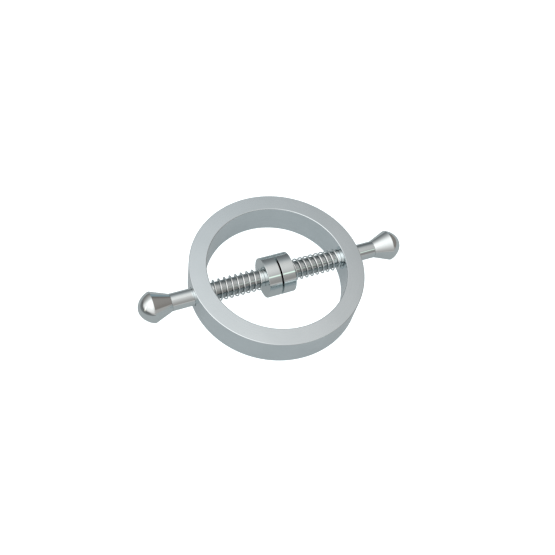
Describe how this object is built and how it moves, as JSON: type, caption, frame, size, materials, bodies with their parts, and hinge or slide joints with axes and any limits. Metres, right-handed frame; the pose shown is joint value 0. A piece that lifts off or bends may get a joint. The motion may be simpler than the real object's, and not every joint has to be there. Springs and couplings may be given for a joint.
{
  "type": "spring ring clamp",
  "caption": "Flat metal ring with opposed spring-loaded plungers on one diameter; round jaw pads close at its centre and open when the outer knobs are pulled.",
  "frame": {"origin": "centre of the ring, on the common axis of the two plungers, midway between the jaw faces", "axes": "+X along the plungers towards the right knob, +Z along the ring's axis"},
  "size_m": [0.0484, 0.03, 0.007],
  "materials": {
    "satin_steel": "fine satin",
    "polished_chrome": "mirror polished",
    "spring_steel": "bright drawn wire"
  },
  "bodies": {
    "ring": {"ring": "satin_steel"},
    "left_slider": {"left_spring": "spring_steel"},
    "left_plunger": {"left_rod": "polished_chrome", "left_knob": "polished_chrome", "left_jaw_pad": "polished_chrome"},
    "right_slider": {"right_spring": "spring_steel"},
    "right_plunger": {"right_rod": "polished_chrome", "right_knob": "polished_chrome", "right_jaw_pad": "polished_chrome"}
  },
  "joints": [
    {"name": "left_pull", "type": "slide", "parent": "ring", "child": "left_slider", "axis": [-1, 0, 0], "range_m": [0, 0.0055], "stiffness_N_per_m": 110, "springref_m": -0.0015, "deforming": ["left_spring"]},
    {"name": "left_turn", "type": "hinge", "parent": "left_slider", "child": "left_plunger", "pos_m": [-0.012, 0, 0], "axis": [-1, 0, 0], "continuous": true},
    {"name": "right_pull", "type": "slide", "parent": "ring", "child": "right_slider", "axis": [1, 0, 0], "range_m": [0, 0.0055], "stiffness_N_per_m": 110, "springref_m": -0.0015, "deforming": ["right_spring"]},
    {"name": "right_turn", "type": "hinge", "parent": "right_slider", "child": "right_plunger", "pos_m": [0.012, 0, 0], "axis": [1, 0, 0], "continuous": true}
  ]
}
